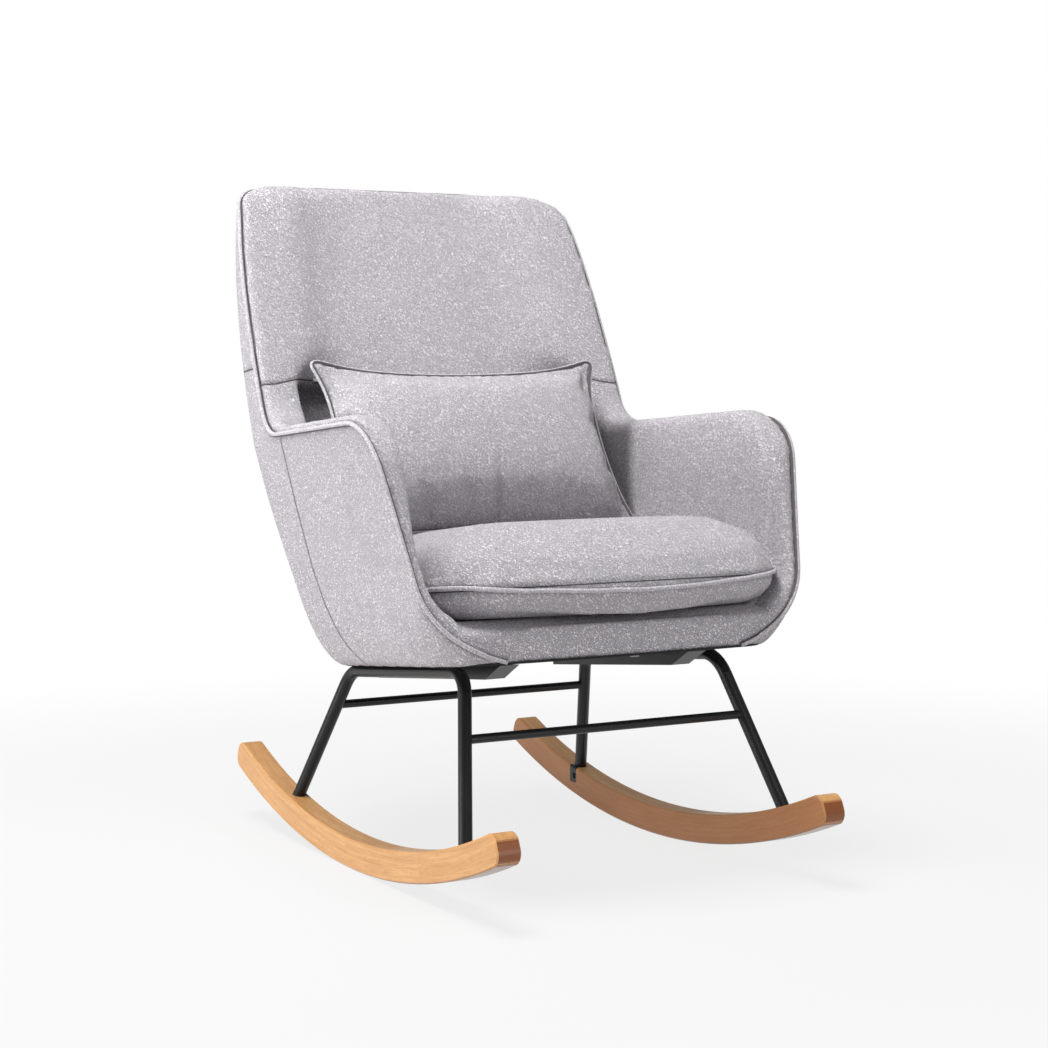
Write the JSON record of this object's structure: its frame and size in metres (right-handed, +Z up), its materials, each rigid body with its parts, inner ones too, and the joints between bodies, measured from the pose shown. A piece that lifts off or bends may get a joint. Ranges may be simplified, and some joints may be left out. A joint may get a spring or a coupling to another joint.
{
  "type": "rocking armchair",
  "caption": "Upholstered rocking armchair: piped tub seat with wings, loose seat cushion and lumbar pillow, on a black tube frame with bent-wood rockers.",
  "frame": {"origin": "on the floor, midway between the lines where the two rockers touch it when the chair stands at rest", "axes": "+X across the chair, to the right for someone facing its front; -Y the way the sitter faces; +Z up"},
  "size_m": [0.6788, 0.9018, 1.0102],
  "materials": {
    "beech": "clear-lacquered bent beech",
    "black_steel": "satin black powder coat",
    "zinc": "bright zinc",
    "frame_wood": "plain sawn timber",
    "board": "bare plywood",
    "webbing": "woven elastic strap",
    "dust_cloth": "thin black dust cloth",
    "boucle": "light grey looped upholstery cloth",
    "padding": "foam and wadding",
    "zip_tape": "woven tape with coil zip"
  },
  "bodies": {
    "chair": {"rocker_right": "beech", "rocker_left": "beech", "leg_hoop_right": "black_steel", "leg_hoop_left": "black_steel", "rear_foot_tangs": "black_steel", "front_foot_studs": "zinc", "rocker_screws": "black_steel", "rear_crossbar": "black_steel", "front_crossbar": "black_steel", "mount_strap_front": "black_steel", "mount_strap_rear": "black_steel", "mount_beam_right": "black_steel", "mount_beam_left": "black_steel", "seat_bolts": "zinc", "threaded_inserts": "zinc", "dust_cover": "dust_cloth", "seat_rail_front": "frame_wood", "seat_rail_rear": "frame_wood", "seat_rail_right": "frame_wood", "seat_rail_left": "frame_wood", "cross_rail_front": "frame_wood", "cross_rail_rear": "frame_wood", "seat_webbing": "webbing", "seat_deck": "padding", "side_board_right": "board", "side_board_left": "board", "back_post_right": "frame_wood", "back_post_left": "frame_wood", "back_rail_top": "frame_wood", "back_rail_low": "frame_wood", "back_webbing": "webbing", "back_cover": "boucle", "arm_cover_right": "boucle", "arm_cover_left": "boucle", "back_pad_upper": "boucle", "back_pad_lower": "padding", "arm_pad_right": "boucle", "arm_pad_left": "boucle", "back_top_pad": "boucle", "front_rail_pad": "boucle", "arm_welt_right": "boucle", "arm_welt_left": "boucle"},
    "seat_cushion": {"cushion_cover": "boucle", "cushion_core": "padding", "cushion_welt": "boucle", "cushion_zip": "zip_tape"},
    "lumbar_pillow": {"pillow_cover": "boucle", "pillow_fill": "padding", "pillow_welt": "boucle"}
  },
  "joints": [
    {"name": "cushion_lift", "type": "slide", "parent": "chair", "child": "seat_cushion", "axis": [0, -0.625, 0.7806], "range_m": [0, 0.62]},
    {"name": "pillow_lift", "type": "slide", "parent": "seat_cushion", "child": "lumbar_pillow", "axis": [0, -0.695, 0.719], "range_m": [0, 0.3]}
  ]
}
